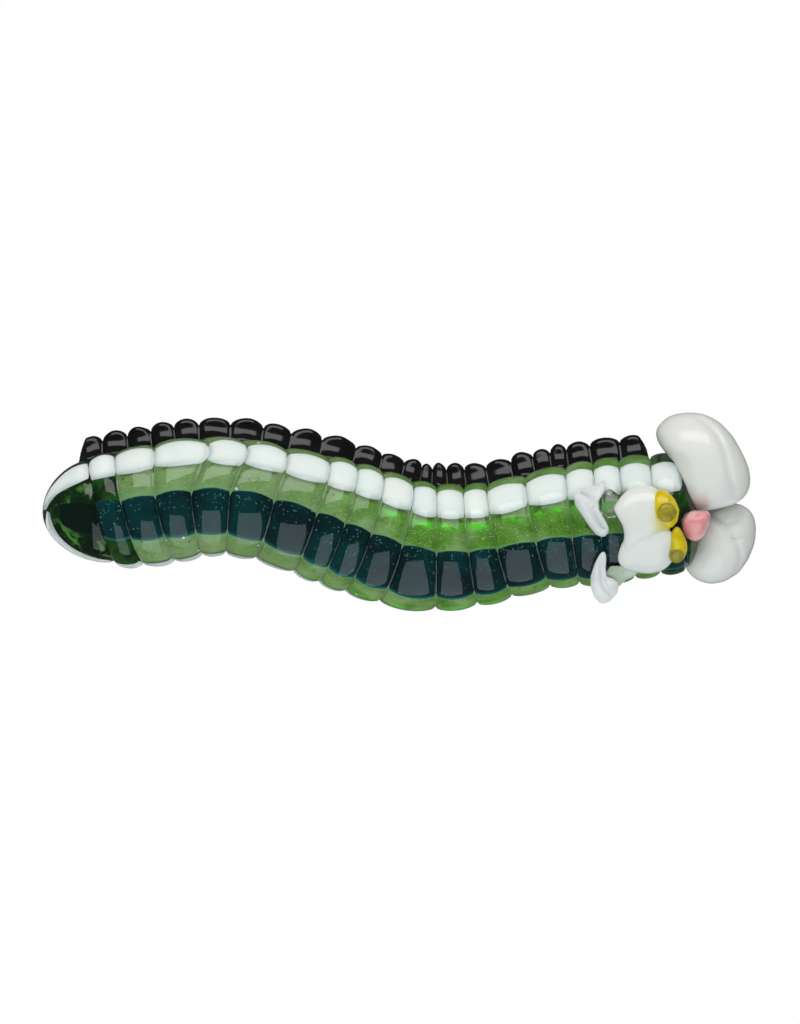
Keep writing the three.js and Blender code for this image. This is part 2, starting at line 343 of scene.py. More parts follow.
def runTree(obj, tree, glass, **values):
    modifier = obj.modifiers.new(tree.name, "NODES")
    modifier.node_group = tree
    sockets = {item.name: item.identifier for item in tree.interface.items_tree
               if item.item_type == "SOCKET" and item.in_out == "INPUT"}
    for label, value in {"Glass": glasses[glass], **values}.items():
        modifier[sockets[label.replace("_", " ")]] = value
    return bakedMesh(obj)


studio = {
    "lens": 300.0, "sensor": 36.0,
    "overhead": {"spot": (0, -0.52, 0.72), "size": (0.74, 1.25), "power": 3.5, "color": (0.86, 0.95, 1.0)},
    "side": {"spot": (0.0, 0.80, 0.17), "size": (0.90, 0.46), "power": 3.3, "color": (1, 1, 1)},
    "aim": (0, 0, 0.015),  # where both panels point
    "floorHalf": 0.3,
    "white": 1.0,     # the backdrop and floor as they are seen
    "fill": 0.48,     # what they give to a surface as soft light
    "inside": 1.3,    # what they give to the layers under the clear glass
    "mirrored": 0.1,  # what the glass mirrors of them
}


def makeCamera():
    camera = bpy.data.cameras.new("camera")
    camera.lens = studio["lens"]
    camera.sensor_fit = "HORIZONTAL"
    camera.sensor_width = studio["sensor"]
    camera.clip_start = 0.01
    obj = bpy.data.objects.new("camera", camera)
    turn = Matrix((faceAcross, faceRise, faceOut)).transposed().to_4x4()
    obj.matrix_world = Matrix.Translation(Vector(facePoints(0, viewRise, viewDistance))) @ turn
    bpy.context.scene.collection.objects.link(obj)
    bpy.context.scene.camera = obj


def backdropStrength(bench):
    # white where it is looked at, soft where it lights, dim where it is only mirrored
    rays = bench.add("ShaderNodeLightPath").outputs
    strength = studio["fill"]
    for ray, level in (("Glossy", "mirrored"), ("Transmission", "inside"), ("Camera", "white")):
        mix = bench.add("ShaderNodeMix", Factor=rays[f"Is {ray} Ray"], A=strength, B=studio[level])
        strength = mix.outputs["Result"]
    return strength


def makeFloor():
    mesh = bpy.data.meshes.new("floor")
    half = studio["floorHalf"]
    corners = [(-half, -half, 0), (half, -half, 0), (half, half, 0), (-half, half, 0)]
    mesh.from_pydata(corners, [], [(0, 1, 2, 3)])
    floor = bpy.data.objects.new("floor", mesh)
    bpy.context.scene.collection.objects.link(floor)
    material, bench, shader = newMaterial("paleFloor", Base_Color=(0, 0, 0, 1), Specular_IOR_Level=0.0,
                                          Emission_Color=(1, 1, 1, 1))
    bench.feed(shader["Emission Strength"], backdropStrength(bench))
    floor.data.materials.append(material)


def addPanel(name, spot, size, power, color):
    light = bpy.data.lights.new(name, "AREA")
    light.shape = "RECTANGLE"
    light.size, light.size_y = size
    light.energy = power
    light.color = color
    obj = bpy.data.objects.new(name, light)
    obj.location = spot
    obj.rotation_euler = (Vector(studio["aim"]) - Vector(spot)).to_track_quat("-Z", "Y").to_euler()
    obj.visible_camera = False
    bpy.context.scene.collection.objects.link(obj)


def makeLight():
    world = bpy.data.worlds.new("studio")
    world.use_nodes = True
    bpy.context.scene.world = world
    background = world.node_tree.nodes["Background"].inputs
    background["Color"].default_value = (1, 1, 1, 1)
    bench = Bench(world.node_tree)
    bench.feed(background["Strength"], backdropStrength(bench))
    for name in ("overhead", "side"):
        addPanel(name + "Panel", **studio[name])
    bpy.context.scene.view_settings.view_transform = "Standard"


def newMaterial(name, **sockets):
    material = bpy.data.materials.new(name)
    material.use_nodes = True
    shader = material.node_tree.nodes["Principled BSDF"].inputs
    for socket, value in sockets.items():
        shader[socket.replace("_", " ")].default_value = value
    return material, Bench(material.node_tree), shader


makeCamera()
makeFloor()
makeLight()
print("studio ready")


def makeGlitterGroup():
    # Fine flakes in the glass: a share of small cells turn bright, each by its own amount.
    bench, start, end = newTree("glitter", "ShaderNodeTree", {
        "Flakes per Metre": 3000.0, "Share": 0.25, "Glass": (0.2, 0.4, 0.1, 1), "Flake": (0.7, 0.8, 0.5, 1),
    }, {"Color": "Color"})
    cells = bench.pattern("ShaderNodeTexVoronoi", start["Flakes per Metre"])
    chance = bench.add("ShaderNodeSeparateColor", Color=cells["Color"]).outputs
    chosen = bench.calc("LESS_THAN", chance[0], start["Share"])
    amount = bench.times(chosen, bench.fade(cells["Distance"], 0.5, 0.2), chance[1])
    bench.feed(end["Color"], bench.blend(amount, start["Glass"], start["Flake"]))
    return bench.tree


def makeFirePolishGroup():
    # The slow waviness of glass that was melted smooth, as a height for a Bump node.
    bench, start, end = newTree("firePolish", "ShaderNodeTree", {"Waves per Metre": 160.0, "Depth": 0.5},
                                {"Height": "Float"})
    slow = bench.pattern("ShaderNodeTexNoise", start["Waves per Metre"], Detail=1.5)
    bench.feed(end["Height"], bench.times(slow["Fac"], start["Depth"]))
    return bench.tree


def makeCloudGroup():
    # Soft cloudiness between two shades, as in hand-mixed glass.
    bench, start, end = newTree("cloud", "ShaderNodeTree", {
        "Clouds per Metre": 120.0, "Thick": (1, 1, 1, 1), "Thin": (0.8, 0.8, 0.8, 1),
    }, {"Color": "Color", "Mask": "Float"})
    noise = bench.pattern("ShaderNodeTexNoise", start["Clouds per Metre"], Detail=3.0, Distortion=0.6)
    mask = bench.fade(noise["Fac"], 0.35, 0.65)
    bench.feed(end["Color"], bench.blend(mask, start["Thick"], start["Thin"]))
    bench.feed(end["Mask"], mask)
    return bench.tree


def makeRibLinesGroup():
    # A thin line in the groove where a rib ends, a wider band beside it, and the rib's crest.
    bench, start, end = newTree("ribLines", "ShaderNodeTree", {
        "Rib Phase": 0.5, "Line Width": 0.03, "Band Width": 0.14,
    }, {"Line": "Float", "Band": "Float", "Crest": "Float"})
    fromMiddle = bench.calc("ABSOLUTE", bench.calc("SUBTRACT", start["Rib Phase"], 0.5))
    toGroove = bench.calc("SUBTRACT", 0.5, fromMiddle)
    bench.feed(end["Line"], bench.calc("LESS_THAN", toGroove, start["Line Width"]))
    bench.feed(end["Band"], bench.ramp(toGroove, start["Line Width"], start["Band Width"], 1.0, 0.0))
    bench.feed(end["Crest"], bench.fade(toGroove, 0.05, 0.32))
    return bench.tree


glitterGroup = makeGlitterGroup()
firePolishGroup = makeFirePolishGroup()
cloudGroup = makeCloudGroup()
ribLinesGroup = makeRibLinesGroup()


def ribLines(bench, look):
    return bench.use(ribLinesGroup, Rib_Phase=bench.carried("ribPhase"), Line_Width=look["lineWidth"],
                     Band_Width=look["bandWidth"])


polish = {"waves": 160.0, "depth": 0.5, "strength": 0.6, "distance": 0.0004}


def addPolish(bench, shader):
    waves = bench.use(firePolishGroup, Waves_per_Metre=polish["waves"], Depth=polish["depth"])
    bump = bench.add("ShaderNodeBump", Strength=polish["strength"], Distance=polish["distance"],
                     Height=waves["Height"])
    bench.feed(shader["Normal"], bump.outputs["Normal"])


greenBand = {
    "pale": {"Clouds_per_Metre": 70.0, "Thick": (0.18, 0.31, 0.11, 1), "Thin": (0.14, 0.26, 0.08, 1)},
    "vivid": {"Clouds_per_Metre": 160.0, "Thick": (0.08, 0.22, 0.02, 1), "Thin": (0.15, 0.32, 0.07, 1)},
    "shade": {"Clouds_per_Metre": 240.0, "Thick": (0.001, 0.007, 0.002, 1), "Thin": (0.012, 0.07, 0.008, 1)},
    "flakes": {"Flakes_per_Metre": 3900.0, "Share": 0.35, "Flake": (0.50, 0.70, 0.32, 1)},
    "specks": {"Flakes_per_Metre": 900.0, "Share": 0.10, "Flake": (0.02, 0.07, 0.015, 1)},
    "clear": (0.30, 0.40, 0.23, 1), "clearPatches": 150.0, "clearAmount": 0.38,
    # painted highlight: bright green glints where light is focused through the ribs under each white pillow
    "glint": (0.10, 0.66, 0.03, 1), "glintPatches": 320.0,
    # painted shade: a dark arc under each white pillow, whose colour also darkens bands beside the grooves
    "arc": (0.012, 0.055, 0.006, 1), "arcAmount": 0.75, "grooveAmount": 0.35,
    "seam": (0.17, 0.36, 0.17, 1), "seamAmount": 0.5,
    # painted highlight: a pale line in every groove
    "line": (0.46, 0.60, 0.36, 1), "lineAmount": 0.7, "lineWidth": 0.018, "bandWidth": 0.12,
    # along the rod, in metres
    "vividAlong": (-0.030, 0.004), "tailShade": (-0.0702, -0.0712), "neckShade": (0.0640, 0.0672),
    # across the band, 0 at the teal stripe and 1 at the white one
    "glintFrom": (0.50, 0.74), "glintTo": (0.95, 0.80), "arcFrom": (0.80, 0.97), "seamTo": (0.06, 0.01),
}


def greenGlitter():
    look = greenBand
    material, bench, shader = newMaterial("greenGlitter", Roughness=0.35, Specular_IOR_Level=0.0)
    along, band = bench.carried("place"), bench.carried("band")
    ribs = ribLines(bench, look)
    vivid = bench.fade(along, *look["vividAlong"])
    color = bench.blend(vivid, bench.use(cloudGroup, **look["pale"])["Color"],
                        bench.use(cloudGroup, **look["vivid"])["Color"])
    for grain in ("flakes", "specks"):
        color = bench.use(glitterGroup, Glass=color, **look[grain])["Color"]
    clear = bench.use(cloudGroup, Clouds_per_Metre=look["clearPatches"])["Mask"]
    clear = bench.times(bench.calc("POWER", clear, 3.0), look["clearAmount"])
    # painted highlight: the glints sit on the crests near the white stripe
    patches = bench.use(cloudGroup, Clouds_per_Metre=look["glintPatches"])["Mask"]
    glint = bench.times(bench.fade(band, *look["glintFrom"]), bench.fade(band, *look["glintTo"]),
                        ribs["Crest"], patches, vivid)
    arc = bench.times(bench.fade(band, *look["arcFrom"]), ribs["Crest"], look["arcAmount"])
    # each lies over the ones before it
    for amount, over in (
        (clear, "clear"),
        # painted shade beside every groove
        (bench.times(ribs["Band"], look["grooveAmount"]), "arc"),
        (glint, "glint"),
        # painted shade: the dark arc under each pillow
        (arc, "arc"),
        (bench.times(bench.fade(band, *look["seamTo"]), look["seamAmount"]), "seam"),
        # painted highlight in every groove
        (bench.times(ribs["Line"], look["lineAmount"]), "line"),
    ):
        color = bench.blend(amount, color, look[over])
    tailEnd, neckEnd = bench.fade(along, *look["tailShade"]), bench.fade(along, *look["neckShade"])
    shade = bench.use(cloudGroup, **look["shade"])["Color"]
    color = bench.blend(bench.calc("MAXIMUM", tailEnd, neckEnd), color, shade)
    bench.feed(shader["Base Color"], color)
    return material


tailGreen = {
    "cloud": {
        "Clouds_per_Metre": 90.0, "Thick": (0.0008, 0.005, 0.0015, 1), "Thin": (0.002, 0.016, 0.004, 1),
    },
    # painted glints: bright green streaks that stand for light passing through the dark tail glass
    "paintedGlint": (0.10, 0.34, 0.05, 1), "paintedGlintPatches": 260.0, "paintedGlintAmount": 0.55,
    "flakes": {"Flakes_per_Metre": 3000.0, "Share": 0.10, "Flake": (0.10, 0.30, 0.12, 1)},
}


def darkGreen():
    look = tailGreen
    material, bench, shader = newMaterial("darkGreen", Roughness=0.3, Specular_IOR_Level=0.0)
    # painted glints over the dark glass, in sparse patches
    paintedGlints = bench.use(cloudGroup, Clouds_per_Metre=look["paintedGlintPatches"])["Mask"]
    lit = bench.times(bench.calc("POWER", paintedGlints, 5.0), look["paintedGlintAmount"])
    color = bench.blend(lit, bench.use(cloudGroup, **look["cloud"])["Color"], look["paintedGlint"])
    bench.feed(shader["Base Color"], bench.use(glitterGroup, Glass=color, **look["flakes"])["Color"])
    return material


tealBand = {
    "cloud": {"Clouds_per_Metre": 90.0, "Thick": (0.0, 0.013, 0.017, 1), "Thin": (0.0, 0.032, 0.036, 1)},
    "flakes": {"Flakes_per_Metre": 3000.0, "Flake": (0.20, 0.46, 0.46, 1)},
    "share": 0.05, "moreOnTheLeft": 0.08,  # of the cells that hold a flake
    # painted shade: the edge colour darkens the teal beside every groove
    "edge": (0.0, 0.004, 0.006, 1), "glow": (0.02, 0.17, 0.17, 1), "leftGlowAmount": 0.6,
    # painted highlight: a paler line in every groove
    "line": (0.02, 0.13, 0.13, 1), "lineAmount": 0.8, "lineWidth": 0.02, "bandWidth": 0.17,
    "tail": (0.001, 0.006, 0.002, 1), "tailAmount": 0.9,
    "tailAlong": (-0.0776, -0.0790),  # along the rod, in metres
    # across the stripe, -1 and 1 at its edges
    # painted light: a paler glow along the stripe's edges, as of light passing through the glass
    "leftFlakes": (0.0, 0.7), "rightGlow": (-0.62, -0.92), "leftGlow": (0.80, 0.95),
}


def tealGlass():
    look = tealBand
    material, bench, shader = newMaterial("tealGlass", Roughness=0.3, Specular_IOR_Level=0.0)
    across = bench.carried("across")
    ribs = ribLines(bench, look)
    onTheLeft = bench.fade(across, *look["leftFlakes"])
    share = bench.calc("MULTIPLY_ADD", onTheLeft, look["moreOnTheLeft"], look["share"])
    color = bench.use(cloudGroup, **look["cloud"])["Color"]
    color = bench.use(glitterGroup, Glass=color, Share=share, **look["flakes"])["Color"]
    # painted light: paler teal along both edges of the stripe
    leftGlow = bench.times(bench.fade(across, *look["leftGlow"]), look["leftGlowAmount"])
    for amount, over in (
        # painted shade beside every groove
        (ribs["Band"], "edge"),
        (bench.calc("MAXIMUM", bench.fade(across, *look["rightGlow"]), leftGlow), "glow"),
        # painted highlight in every groove
        (bench.times(ribs["Line"], look["lineAmount"]), "line"),
        (bench.times(bench.fade(bench.carried("place"), *look["tailAlong"]), look["tailAmount"]), "tail"),
    ):
        color = bench.blend(amount, color, look[over])
    bench.feed(shader["Base Color"], color)
    return material


opal = {
    "clouds": 90.0, "roughness": 0.12,
    # painted shade at a pillow's edges and beside the grooves, with the bluish tint of the thinner glass
    # there
    "edge": (0.50, 0.60, 0.66, 1), "edgeAmount": 0.55, "edgeFrom": (0.62, 0.95), "lineWidth": 0.012,
    "bandWidth": 0.16,
}


def opalWhite(name, thick, thin, pillows=True):
    material, bench, shader = newMaterial(name, Roughness=opal["roughness"],
                                          Specular_IOR_Level=0.0 if pillows else 0.5)
    cloud = bench.use(cloudGroup, Clouds_per_Metre=opal["clouds"], Thick=(*thick, 1), Thin=(*thin, 1))
    color = cloud["Color"]
    if pillows:
        ribs = ribLines(bench, opal)
        # painted shade, with the thinner glass's tint, at the pillow's sides and beside its grooves
        side = bench.fade(bench.calc("ABSOLUTE", bench.carried("across")), *opal["edgeFrom"])
        edge = bench.times(bench.calc("MAXIMUM", side, ribs["Band"]), opal["edgeAmount"])
        color = bench.blend(edge, color, opal["edge"])
    bench.feed(shader["Base Color"], color)
    return material


def opaqueGlass(name, thick, thin, clouds, roughness, subsurface, runsInto=None):
    material, bench, shader = newMaterial(name, Roughness=roughness, IOR=1.5, Subsurface_Weight=subsurface,
                                          Subsurface_Scale=0.003)
    cloud = bench.use(cloudGroup, Clouds_per_Metre=clouds, Thick=(*thick, 1), Thin=(*thin, 1))
    color = cloud["Color"]
    if runsInto:
        place = bench.add("ShaderNodeTexCoord").outputs["Object"]
        forward = bench.add("ShaderNodeSeparateXYZ", Vector=place).outputs[0]
        wavy = bench.calc("MULTIPLY_ADD", cloud["Mask"], runsInto["wave"], forward)
        amount = bench.times(bench.fade(wavy, *runsInto["along"]), runsInto["amount"])
        color = bench.blend(amount, color, runsInto["color"])
    bench.feed(shader["Base Color"], color)
    addPolish(bench, shader)
    return material


def clearGlass():
    return newMaterial("clearGlass", Roughness=0.0, IOR=1.5, Transmission_Weight=1.0,
                       Base_Color=(0.98, 1.0, 0.98, 1))[0]


# The left brow runs into the eye's yellow at its front end, across an uneven line.
eyeYellow = {"color": (0.78, 0.64, 0.03, 1), "amount": 0.85, "along": (0.0628, 0.0672), "wave": 0.0012}

# Two shades, clouds to the metre, roughness, and how far light goes in.
ivory = (0.90, 0.92, 0.87), (0.85, 0.88, 0.84), 60.0, 0.07, 0.25
black = (0.003, 0.003, 0.004), (0.006, 0.006, 0.007), 150.0, 0.12, 0.0
pink = (0.84, 0.33, 0.34), (0.90, 0.52, 0.52), 300.0, 0.07, 0.2
yellow = (0.78, 0.62, 0.01), (0.66, 0.50, 0.005), 250.0, 0.07, 0.1
olive = (0.40, 0.34, 0.02), (0.26, 0.22, 0.03), 400.0, 0.07, 0.0
milky = (0.60, 0.68, 0.58), (0.40, 0.50, 0.36), 160.0, 0.10, 0.3

# One for each slot, and three that are finishes of their own inside a slot.
glasses = {
    "clear_glass": clearGlass(),
    "green_glitter_glass": greenGlitter(),
    "dark_green_glass": darkGreen(),
    "teal_glass": tealGlass(),
    "white_opal_glass": opalWhite("opalWhite", (0.95, 0.99, 0.98), (0.88, 0.95, 0.94)),
    "black_glass": opaqueGlass("blackGlass", *black),
    "ivory_glass": opaqueGlass("ivoryGlass", *ivory),
    "pink_glass": opaqueGlass("pinkGlass", *pink),
    "yellow_glass": opaqueGlass("yellowGlass", *yellow),
    "olive_glass": opaqueGlass("oliveGlass", *olive),
    "earWhite": opalWhite("earWhite", (0.92, 0.95, 0.93), (0.76, 0.81, 0.80), pillows=False),
    "milkyWeb": opaqueGlass("milkyWeb", *milky),
    "yellowEndedIvory": opaqueGlass("browGlass", *ivory, runsInto=eyeYellow),
}
print("materials ready")


def makePressTree():
    # Presses the ribs into a smooth piece of the rod: every point moves in along its own
    # outward direction by the groove's depth at its place in the rib, and wanders a little.
    bench, start, end = newTree("pressRibs", "GeometryNodeTree", {
        "Geometry": "Geometry", "Groove Depth": 0.001, "Roundness": 0.55, "Wobble": 0.0001,
        "Wobble Seed": 1.0, "Glass": "Material",
    }, {"Geometry": "Geometry"})
    hump = bench.calc("SINE", bench.times(bench.named("ribPhase"), math.pi))
    lobe = bench.calc("POWER", bench.calc("MAXIMUM", hump, 0.0), start["Roundness"])
    dip = bench.times(bench.calc("SUBTRACT", 1.0, lobe), start["Groove Depth"])
    noise = bench.add("ShaderNodeTexNoise", {"noise_dimensions": "4D"}, W=start["Wobble Seed"], Scale=90.0,
                      Detail=1.0)
    wander = bench.times(bench.calc("SUBTRACT", noise.outputs[0], 0.5), start["Wobble"])
    push = bench.vector("SCALE", bench.named("outward", "FLOAT_VECTOR"), bench.calc("SUBTRACT", wander, dip))
    pressed = bench.add("GeometryNodeSetPosition", Geometry=start["Geometry"], Offset=push)
    return endTree(bench, pressed.outputs[0], start, end)


pressTree = makePressTree()


def ringPlaces(perRib, tip=None):
    # even steps inside every rib, and round the tail when a tip is given
    places = []
    if tip is not None:
        places.append(firstGroove - (firstGroove - tip) * np.cos(np.linspace(0, math.pi / 2, 27))[:-1])
    for low, high in zip(grooves[:-1], grooves[1:]):
        places.append(np.linspace(low, high, perRib, endpoint=False))
    places.append([neck])
    return np.concatenate(places)


def bandPlace(x, angle):
    # across a green band: 0 at the teal stripe and 1 at the white one, on either side of the rod
    turn = signedTurn(angle)
    names = ("dorsal_stripe", "left_side_stripe", "right_side_stripe")
    top, left, right = (stripes[name]["angle"] + stripes[name]["twist"] * x for name in names)
    halfTop, halfLeft, halfRight = (stripes[name]["seen"] * stripes[name]["halfWidth"] for name in names)
    towardsLeft = (turn - top - halfTop) / (left - halfLeft - top - halfTop)
    towardsRight = (top - halfTop - turn) / (top - halfTop - right - halfRight)
    band = np.where(turn > top, towardsLeft, towardsRight)
    return np.where(np.abs(turn) > rod["underside"], rod["undersideBand"], np.clip(band, 0, 1))


def tubeOnRod(name, x, radius, sides, endPoint=None):
    # a closed skin around the rod: rings of points, and one point at each end
    angle = np.linspace(0, 2 * math.pi, sides, endpoint=False)
    along = skewed(x[:, None], angle[None, :])
    rings = rodPoints(along, angle[None, :], radius[:, None])
    outward = unit(rings - rodPoints(along, angle[None, :], 0 * radius[:, None]))
    tail = rodPoints(x[0] if endPoint is None else endPoint, 0, 0)
    points = np.vstack([rings.reshape(-1, 3), [tail, rodPoints(x[-1], 0, 0)]])
    outward = np.vstack([outward.reshape(-1, 3), [[0, 0, 0], [0, 0, 0]]])
    phase = np.concatenate([np.repeat(ribPhase(x), sides), [0.5, 0.5]])
    band = np.concatenate([bandPlace(x[:, None], angle[None, :]).ravel(), 2 * [rod["undersideBand"]]])
    faces = gridFaces(len(x), sides, flip=True)
    first, last = len(points) - 2, len(points) - 1
    base = (len(x) - 1) * sides
    for j in range(sides):
        k = (j + 1) % sides
        faces.append((first, j, k))
        faces.append((last, base + k, base + j))
    place = np.concatenate([np.repeat(x, sides), [x[0], x[-1]]]) * mm
    return outwardFaces(meshObject(name, points, faces, {
        "ribPhase": phase, "outward": outward, "band": band, "place": place}))


def barOnRod(name, stripe, perRib=14, across=22):
    # a stripe of glass laid along the rod and over the tail, crowned across and drawn in at every groove
    x = ringPlaces(perRib, tip=stripe["from"])
    side = np.linspace(-1, 1, across)
    middle = np.radians(stripe["angle"] + stripe["twist"] * x)[:, None]
    ribbed = np.where(x < firstGroove, rod["tailPinch"], 1.0) * groove(x, rod["stripe"]["Roundness"])
    half = np.interp(x, rod["narrowPart"], (stripe["tailHalfWidth"], stripe["halfWidth"]))
    width = np.radians(half * (1 - stripe["edgePinch"] * ribbed))[:, None]
    crown = (1 - np.abs(side)**3.2)**0.6  # full in the middle and round at both edges
    low = skinRadius(x, stripe["inner"])[:, None]
    high = skinRadius(x, stripe["outer"])[:, None]
    top = low + (high - low) * (0.15 + 0.85 * crown)[None, :]
    turn = middle + width * side[None, :]
    along = skewed(x[:, None], turn)
    upper = rodPoints(along, turn, top)
    lower = rodPoints(along, turn, low * np.ones_like(top))
    outward = unit(upper - rodPoints(along, turn, 0 * top))
    ring = np.concatenate([upper, lower[:, ::-1]], 1)
    push = np.concatenate([outward, 0 * outward], 1)
    count = 2 * across
    faces = gridFaces(len(x), count)
    faces.append(tuple(range(count))[::-1])
    base = (len(x) - 1) * count
    faces.append(tuple(base + j for j in range(count)))
    return outwardFaces(meshObject(name, ring.reshape(-1, 3), faces, {
        "ribPhase": np.repeat(ribPhase(x), count), "outward": push.reshape(-1, 3),
        "place": np.repeat(x, count) * mm, "across": np.tile(np.concatenate([side, side[::-1]]), len(x))}))


# Angles are in degrees round from the top, twist is degrees for each millimetre along, inner and outer
# are depths under the skin, and the green band starts at the "seen" share of a stripe's half width.
stripes = {
    "dorsal_stripe": {
        "angle": -4.5, "twist": -0.25, "halfWidth": 35.0, "tailHalfWidth": 29.0, "seen": 0.87, "from": -85.5,
        "inner": 4.6, "outer": 2.1, "edgePinch": 0.16, "grooveDepth": 0.9, "slot": "teal_glass",
    },
    "left_side_stripe": {
        "angle": 80.5, "twist": -0.12, "halfWidth": 24.5, "tailHalfWidth": 24.5, "seen": 0.9, "from": -88.2,
        "inner": 4.6, "outer": 1.5, "edgePinch": 0.30, "grooveDepth": 1.7, "slot": "white_opal_glass",
    },
    "right_side_stripe": {
        "angle": -90.0, "twist": -0.16, "halfWidth": 24.5, "tailHalfWidth": 24.5, "seen": 0.9, "from": -87.5,
        "inner": 4.6, "outer": 1.5, "edgePinch": 0.30, "grooveDepth": 1.7, "slot": "white_opal_glass",
    },
}

rod = {
    "casing": {"Groove_Depth": 1.45 * mm, "Roundness": 0.45, "Wobble": 0.10 * mm, "Wobble_Seed": 3.0},
    "core": {"Groove_Depth": 0.5 * mm, "Roundness": 0.8, "Wobble": 0.3 * mm, "Wobble_Seed": 8.0},
    "stripe": {"Roundness": 0.5, "Wobble": 0.2 * mm, "Wobble_Seed": 5.0},
    "casingRings": 18, "casingSides": 96, "coreRings": 14, "coreSides": 128,  # rings for each rib
    "coreInset": 3.1, "capInset": 3.0, "capOverlap": 0.5,
    "casingEnd": 4.5, "coreEnd": 3.0,  # how far each is rounded off past the neck
    "underside": 95, "undersideBand": 0.4,  # degrees from the top, and the green band's place past it
    "narrowPart": (-72, -30),  # along the rod, where a stripe narrows towards the tail
    "tailPinch": 0.25,         # how far a stripe is still drawn in on the round tail
}


def roundedOff(x, inset, end):
    # the rod's places and radii, drawn in to a round end past the neck
    rounding = np.linspace(0, math.pi / 2, 10)[1:-1]
    x = np.concatenate([x, neck + end * np.sin(rounding)])
    radius = skinRadius(x, inset)
    radius[-len(rounding):] *= np.cos(rounding)
    return x, radius


def makeRod():
    x, radius = roundedOff(ringPlaces(rod["casingRings"], tip=tailTip)[1:], 0.0, rod["casingEnd"])
    casing = tubeOnRod("clearCasing", x, radius, rod["casingSides"], endPoint=tailTip)
    runTree(casing, pressTree, "clear_glass", **rod["casing"])
    finishPiece(casing, "clear_casing", "clear_glass")

    x, radius = roundedOff(ringPlaces(rod["coreRings"]), rod["coreInset"], rod["coreEnd"])
    core = tubeOnRod("glitterCore", x, radius, rod["coreSides"])
    runTree(core, pressTree, "green_glitter_glass", **rod["core"])
    finishPiece(core, "glitter_core", "green_glitter_glass")

    tip, end = tailTip + rod["capInset"], firstGroove + rod["capOverlap"]
    x = end - (end - tip) * np.cos(np.linspace(0.04, math.pi / 2, 26))
    cap = tubeOnRod("tailCap", x, skinRadius(x, rod["capInset"]), rod["casingSides"], endPoint=tip)
    finishPiece(cap, "tail_cap", "dark_green_glass")

    for node, stripe in stripes.items():
        bar = barOnRod(pieceName(node), stripe)
        runTree(bar, pressTree, stripe["slot"], Groove_Depth=stripe["grooveDepth"] * mm, **rod["stripe"])
        finishPiece(bar, node, stripe["slot"])


makeRod()
print("rod ready")

footRow = {
    "from": -81.6,
    # every foot from the tail to the head, unevenly, as they were pinched by hand
    "widths": [6.85, 7.8, 6.55, 5.55, 5.15, 6.15, 6.55, 5.9, 7.3, 8.1, 6.55, 5.9, 5.65, 5, 5.15, 5.55,
               6.8, 6.8, 4.8, 3.6, 3.85, 6.15, 7.5, 6.5],
    "angle": 143.0, "reach": 7.7, "tailReach": 7.2, "crimp": 2.0,
    "thickness": 1.6, "fold": 2.4, "waist": 0.62, "lean": 2.0, "wander": 1.2, "evenness": 0.6,
    "samplesPerFoot": 18, "around": 34,
    "tailPart": (-45, -10),  # along the rod, where the shorter reach at the tail runs out
    "rootDepth": 1.0,        # how deep the strip starts under the ribs
}


def makeCrimpTree():
    # Pinches a plain strip into feet: thick and long at every foot, thin and short between two.
    bench, start, end = newTree("crimpFeet", "GeometryNodeTree", {
        "Geometry": "Geometry", "Fold": 0.001, "Waist": 0.5, "Crimp": 0.003, "Evenness": 0.7, "Lean": 0.001,
        "Wander": 0.001, "Seed": 4, "Glass": "Material",
    }, {"Geometry": "Geometry"})
    phase, up = bench.named("footPhase"), bench.named("upStrip")
    wave = bench.calc("ABSOLUTE", bench.calc("COSINE", bench.times(phase, math.pi)))
    bulge = bench.calc("POWER", wave, 0.55)
    chance = bench.add("FunctionNodeRandomValue", {"data_type": "FLOAT"}, Min=start["Evenness"],
                       ID=bench.calc("ROUND", phase), Seed=start["Seed"])
    ownSize = live(chance.outputs)[0]
    halfWay = bench.calc("MAXIMUM", bench.calc("SINE", bench.times(up, math.pi)), 0.0)
    pinch = bench.calc("SUBTRACT", 1.0, bench.times(bench.calc("POWER", halfWay, 2.0), start["Waist"]))
    fold = bench.times(bulge, ownSize, start["Fold"], pinch)
    shorter = bench.times(bench.calc("SUBTRACT", bench.times(bulge, ownSize), 1.0), start["Crimp"])
    tilt = bench.times(bench.calc("SUBTRACT", ownSize, 0.85), bench.times(up, start["Lean"]), bulge)
    thicker = bench.vector("SCALE", bench.named("sideways", "FLOAT_VECTOR"), fold)
    longer = bench.vector("SCALE", bench.named("outward", "FLOAT_VECTOR"), shorter)
    leaning = bench.add("ShaderNodeCombineXYZ", X=tilt).outputs[0]
    offset = bench.vector("ADD", bench.vector("ADD", thicker, longer), leaning)
    crimped = bench.add("GeometryNodeSetPosition", Geometry=start["Geometry"], Offset=offset)

    noise = bench.add("ShaderNodeTexNoise", Scale=150.0, Detail=0.5)
    centred = bench.vector("SUBTRACT", noise.outputs["Color"], (0.5, 0.5, 0.5))
    wander = bench.vector("SCALE", centred, bench.times(bulge, start["Wander"]))
    uneven = bench.add("GeometryNodeSetPosition", Geometry=crimped.outputs[0], Offset=wander)

    # nothing goes under the floor: the tips are flat where they stand
    position = bench.add("GeometryNodeInputPosition").outputs[0]
    spot = bench.add("ShaderNodeSeparateXYZ", Vector=position).outputs
    flat = bench.add("ShaderNodeCombineXYZ", X=spot[0], Y=spot[1], Z=bench.calc("MAXIMUM", spot[2], 0.0))
    standing = bench.add("GeometryNodeSetPosition", Geometry=uneven.outputs[0], Position=flat.outputs[0])
    return endTree(bench, standing.outputs[0], start, end)


